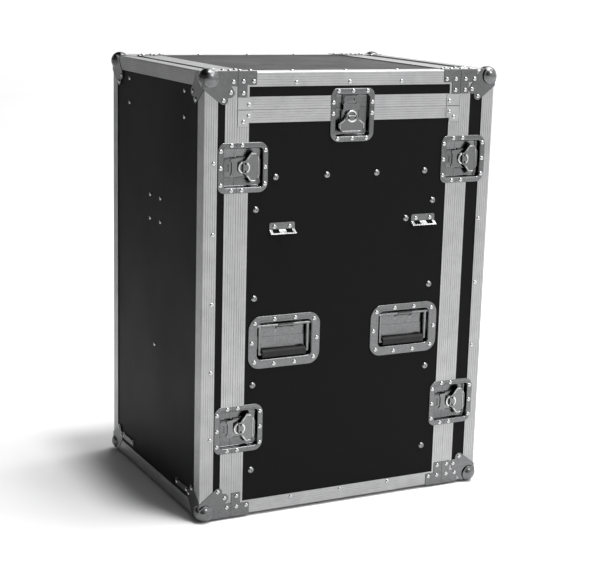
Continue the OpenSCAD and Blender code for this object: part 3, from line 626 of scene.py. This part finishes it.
def latch_details():
    """The boss round each spindle, part of it on the wing, and the bead pressed into the wing."""
    def arc(start, end, w):
        return [Vector((SPINDLE_U + BOSS_RADIUS * math.cos(t), BOSS_RADIUS * math.sin(t), w))
                for t in (math.radians(start + (end - start) * k / 24) for k in range(25))]

    still = tube(arc(110, 250, -3.2), 1.75, 14)
    bead = [Vector((u, v, -1.25)) for u, v in WING_BEAD]
    bead += [Vector((p.x, -p.y, p.z)) for p in bead[-2::-1]]
    for name in latch_names():
        place = latch_frame(name)
        boss, wing = Parts(), Parts()
        boss.put(*scaled(still), place)
        wing.put(*scaled(tube(arc(-54, 54, -1.5), 1.7, 14)), place)
        wing.put(*scaled(tube(bead, 0.75, 10)), place)
        shade(boss.piece("latch_boss_" + name, "latch_steel", "spindle_" + name))
        shade(wing.piece("latch_bead_" + name, "latch_steel", "wing_" + name))


latch_details()

# ---------- ball corners and plates on the lids ----------

BALL_R, BALL_IN, LEAF_T = 20.0, 13.0, 0.9
CAP_FLARE = 3.2
CAP_EDGE = 23.4
CAP_STEPS, CAP_ROWS = 120, 40
FOLD_POWER = 24
OCTANT_FADE = 16.0


def ball_cap():
    """The ball's outer skin, flared smoothly onto the three leaves. Outward is -u, -v, -w."""
    pole = Vector((-1, -1, -1)).normalized()
    side = pole.orthogonal().normalized()
    other = side.cross(pole)

    def way(turn, tilt):
        around = side * math.cos(turn) + other * math.sin(turn)
        return pole * math.cos(tilt) + around * math.sin(tilt)

    def reach(d):
        """How far the leaves' faces are; the outer octant has no leaf, only the ball."""
        out = [max(-c, 0.0) for c in d]
        blunt = sum(c ** FOLD_POWER for c in out) ** (1 / FOLD_POWER)
        return (BALL_IN + LEAF_T) / max(blunt, 0.02) - OCTANT_FADE * min(out)

    def rim(turn):
        low = 0.0
        while reach(way(turn, low + 0.01)) < CAP_EDGE:
            low += 0.01
        return low

    def skin(d):
        far = reach(d)
        h = max(CAP_FLARE - abs(far - BALL_R), 0.0) / CAP_FLARE
        sink = 0.8 * max(far - BALL_R - 2.0, 0.0)
        return d * (max(far, BALL_R) + h * h * CAP_FLARE * 0.25 - sink)

    turns = [2 * math.pi * k / CAP_STEPS for k in range(CAP_STEPS)]
    rims = [rim(turn) for turn in turns]
    loops = [[skin(way(turn, tilt * max(row / CAP_ROWS, 0.002))) for turn, tilt in zip(turns, rims)]
             for row in range(CAP_ROWS + 1)]
    root = Vector((-2.5, -2.5, -2.5))
    loops.append([root + 0.02 * (p - root) for p in loops[-1]])
    return loft(loops)


CAP = scaled(ball_cap())
DISH_MIN = 0.095
CORNER_MIN = 0.05


def lid_fittings(lid):
    """Corner leaves and braces, hook plates and ball skins of one end lid."""
    node = lid + "_fittings"
    plates, balls = Parts(), Parts()
    for points, faces, lo, hi in islands(node):
        size = hi - lo
        if size.z > DISH_MIN:
            continue
        plates.put(points, faces)
        if size.y > CORNER_MIN and size.z > CORNER_MIN:
            place = []
            for k in range(3):
                low_side = (lo[k] + hi[k]) / 2 < MIDDLE[k]
                edge = CAD_BOX[0][k] if low_side else CAD_BOX[1][k]
                place.append((edge, 1 if low_side else -1))
            centre = Vector(edge + sign * BALL_R * MM for edge, sign in place)
            mirrored = place[0][1] * place[1][1] * place[2][1] < 0
            skin = [Vector(sign * c for c, (_, sign) in zip(p, place)) + centre for p in CAP[0]]
            balls.put(skin, [f[::-1] for f in CAP[1]] if mirrored else CAP[1])
    crisp(plates.piece(lid + "_plates", "zinc_fittings", lid, [node]), 0.00022)
    shade(balls.piece(lid + "_balls", "zinc_fittings", lid))
    shade(halves[lid].piece("latch_dishes_" + lid, "zinc_fittings", lid, [node]))


for lid in ("front_lid", "rear_lid"):
    lid_fittings(lid)


HOOK_BEND = 0.0017
SEAM_BAND = (0.8, 0.9)


def joints_and_braces(node, body, label):
    """Sorts plain joint plates from zinc braces, and cuts the table hooks' flanges off at the bend to
    give them a brighter metal, a painted highlight.
    """
    zinc, plain, painted_highlight_flanges = Parts(), Parts(), Parts()
    for points, faces, lo, hi in islands(node):
        size = hi - lo
        if size.x > 0.09:
            continue
        if size.x > 0.05 and size.y > 0.008:
            side = 1 if lo.y > 0 else -1
            at = (lo.y if side > 0 else -hi.y) + HOOK_BEND
            turn = Matrix.Rotation(math.radians(90 * side), 4, "Z")
            level = [turn.inverted() @ p for p in points]
            zinc.put(*cut_half(level, faces, at, False), turn)
            painted_highlight_flanges.put(*cut_half(level, faces, at, True), turn)
            continue
        joint = size.y < 0.003 and lo.z > SEAM_BAND[0] and hi.z < SEAM_BAND[1]
        (plain if joint else zinc).put(points, faces)
    # painted highlight: the hook flanges take the brighter rivet metal so they read as lit from above
    if painted_highlight_flanges.points:
        crisp(painted_highlight_flanges.piece("table_hook_painted_highlight_flanges", "rivets", body, [node]), 0.0002)
    crisp(zinc.piece(label + "_plates", "zinc_fittings", body, [node]), 0.00022)
    crisp(plain.piece(label + "_joint_plates", "aluminium_profile", body, [node]), 0.00015)


joints_and_braces("body_fittings", "case", "body")
joints_and_braces("top_lid_fittings", "top_lid", "top_lid")
shade(halves["top_lid"].piece("latch_dishes_top_lid", "zinc_fittings", "top_lid",
                              ["top_lid_fittings"]))

# ---------- handles ----------

WELL = (-62.5, 62.5, -36.0, 41.0)


def handle_names():
    return sorted(m.group(1) for m in (re.fullmatch(r"bail_(.+)_lift", n) for n in JOINTS) if m)


def handle_frame(name):
    lift = JOINTS[f"bail_{name}_lift"]
    place = Vector(lift["pos_m"])
    u = -Vector(lift["axis"])
    w = Vector((0, 1 if place.y > 0 else -1, 0))
    return axes_frame(place - Vector((0, 0, 34 * MM)) + w * 5 * MM, u, w)


def handle_dish():
    """The pressed sheet of a handle's dish: under the well, over the rim and down to its floor."""
    def well(grow, w):
        return rounded(*WELL, 10.0, 10.0, w, grow, 9)

    def rim(grow, w):
        return rounded(-83.0, 83.0, -56.0, 56.0, 26.0, 26.0, w, grow, 9)

    return loft([well(-2.5, -14.0), well(-0.4, -13.5), well(0.7, -12.3), well(1.0, -10.0),
                 well(1.0, -1.2), well(1.7, -0.3), well(2.6, 0.0), rim(-0.2, 0.0), rim(0.0, 0.2),
                 *(rim(g, w) for g, w in ROUNDED_EDGE), well(6.5, 1.2), well(5.4, 1.35),
                 well(4.2, 1.75), well(3.0, 1.85), well(2.0, 1.55), well(1.1, 0.85), well(0.45, -0.2),
                 well(0.1, -1.5), well(0.0, -3.0), well(0.0, -9.4), well(-0.5, -11.2),
                 well(-1.6, -12.4), well(-3.2, -13.0)])


def coil():
    """The torsion spring: a helix round the pivot rod, with a leg on the well's floor at each end."""
    turns, pitch, radius, wire, middle = 19.5, 1.9, 4.55, 0.85, 4.0
    v0, w0 = 34.0, -5.0
    steps = int(turns * 18)
    path = []
    for i in range(steps + 1):
        angle = math.radians(200) + 2 * math.pi * turns * i / steps
        path.append(Vector((middle + turns * pitch * (i / steps - 0.5),
                            v0 + radius * math.cos(angle), w0 + radius * math.sin(angle))))
    start = [Vector((path[0].x - 0.6, 19.0, -12.0)), Vector((path[0].x - 0.3, 24.0, -11.6)),
             Vector((path[0].x - 0.1, 28.2, -9.0))]
    end = [Vector((path[-1].x + 0.1, 28.4, -9.0)), Vector((path[-1].x + 0.3, 24.0, -11.6)),
           Vector((path[-1].x + 0.6, 19.0, -12.0))]
    return tube(start + path + end, wire, 9)


def handles():
    """Every handle's dish and spring, and the finish of its rod and grip."""
    dishes, springs = Parts(), Parts()
    ledge = loft([rounded(-56, 56, 8.5, 32, 2.5, 2.5, w, g) for w, g in
                  ((-13.0, 0.0), (-12.2, 0.0), (-11.8, -0.15), (-11.55, -0.5), (-11.5, -1.0))])
    for name in handle_names():
        place = handle_frame(name)
        dishes.put(*scaled(handle_dish()), place)
        dishes.put(*scaled(ledge), place)
        springs.put(*scaled(coil()), place)
        crisp(NODES["handle_bail_" + name], 0)
        crisp(NODES["handle_grip_" + name], 0.0012, 3, 60.0)
    shade(dishes.piece("handle_dishes_pressed", "zinc_fittings", "case", ["handle_dishes"]))
    shade(springs.piece("handle_springs", "handle_steel", "case", ["handle_dishes"]))


handles()

# ---------- profiles, boards and rails keep their CAD shapes ----------

for name in ("body_profiles", "front_lid_profiles", "rear_lid_profiles", "top_lid_profiles"):
    crisp(NODES[name], 0)
for name in ("side_wall_near", "side_wall_far", "floor_panel", "front_lid_shell", "rear_lid_shell",
             "top_lid_shell", "rack_rails"):
    crisp(NODES[name], 0.0003)

# ---------- stage ----------


def area_light(name, place, target, side, power):
    """A square area light that faces the target."""
    data = bpy.data.lights.new(name, "AREA")
    data.shape = "RECTANGLE"
    data.size, data.size_y = side, side
    data.energy = power
    obj = bpy.data.objects.new(name, data)
    bpy.context.scene.collection.objects.link(obj)
    obj.location = place
    obj.rotation_euler = (Vector(target) - Vector(place)).to_track_quat("-Z", "Y").to_euler()


SUN_WAY = Vector((-0.12, 0.16, -1.0))
FLAG_HEIGHT = 6.0
FLOOR_REACH = 60.0
WORLD_SLOPE = (("From Min", -0.45), ("From Max", 0.6), ("To Min", 0.12), ("To Max", 1.55))


def flag():
    """A black cloth high overhead that keeps the light off the floor on the left."""
    along, out = Vector((0.262, 0.965, 0)), Vector((-0.965, 0.262, 0))
    start = Vector((-1.1, 0.0, FLAG_HEIGHT)) - SUN_WAY * FLAG_HEIGHT
    start.z = FLAG_HEIGHT
    mesh = bpy.data.meshes.new("flag")
    mesh.from_pydata([start - along * 5, start + along * 16, start + along * 16 + out * 9,
                      start - along * 5 + out * 9], [], [(0, 1, 2, 3)])
    obj = bpy.data.objects.new("flag", mesh)
    bpy.context.scene.collection.objects.link(obj)
    mesh.materials.append(laminate("flag_cloth", (0.02, 0.02, 0.02), (0.03, 0.03, 0.03)))


def make_stage():
    """Pale floor, a world that is darker towards -X, a soft sun and two area lights."""
    flag()
    mesh = bpy.data.meshes.new("floor")
    mesh.from_pydata([(x * FLOOR_REACH, y * FLOOR_REACH, 0)
                      for x, y in ((-1, -1), (1, -1), (1, 1), (-1, 1))], [], [(0, 1, 2, 3)])
    floor = bpy.data.objects.new("floor", mesh)
    bpy.context.scene.collection.objects.link(floor)
    mesh.materials.append(floor_paint("floor_paint"))
    world = bpy.data.worlds.new("studio")
    bpy.context.scene.world = world
    world.use_nodes = True
    tree = world.node_tree
    back = tree.nodes["Background"]
    back.inputs["Color"].default_value = (1.0, 1.0, 1.0, 1.0)
    where = tree.nodes.new("ShaderNodeTexCoord")
    slope = tree.nodes.new("ShaderNodeVectorMath")
    slope.operation = "DOT_PRODUCT"
    slope.inputs[1].default_value = (1.0, 0.0, 0.0)
    level = tree.nodes.new("ShaderNodeMapRange")
    for key, value in WORLD_SLOPE:
        level.inputs[key].default_value = value
    tree.links.new(where.outputs["Generated"], slope.inputs[0])
    tree.links.new(slope.outputs["Value"], level.inputs["Value"])
    tree.links.new(level.outputs["Result"], back.inputs["Strength"])
    data = bpy.data.lights.new("overhead", "SUN")
    data.energy = 1.5
    data.angle = math.radians(8.0)
    sun = bpy.data.objects.new("overhead", data)
    bpy.context.scene.collection.objects.link(sun)
    sun.rotation_euler = SUN_WAY.to_track_quat("-Z", "Y").to_euler()
    area_light("key", (1.4, -3.2, 3.4), (0.0, 0.0, 0.5), 1.6, 60.0)
    area_light("softbox", (1.45, -0.3, 3.4), (1.2, -0.3, 0.0), 2.4, 110.0)


make_stage()

# ---------- camera ----------

data = bpy.data.cameras.new("camera")
data.lens = 84.87
data.sensor_width = 36.0
camera = bpy.data.objects.new("camera", data)
bpy.context.scene.collection.objects.link(camera)
right = Vector((0.89165591, -0.45192055, 0.02678719))
down = Vector((-0.07386849, -0.20361226, -0.97626098))
forward = Vector((0.44664660, 0.86851014, -0.21493476))
axes = Matrix((right, -down, -forward)).transposed()
camera.matrix_world = Matrix.Translation((-1.4451, -2.8613, 1.1389)) @ axes.to_4x4()
bpy.context.scene.camera = camera
bpy.context.scene.view_settings.view_transform = "Standard"
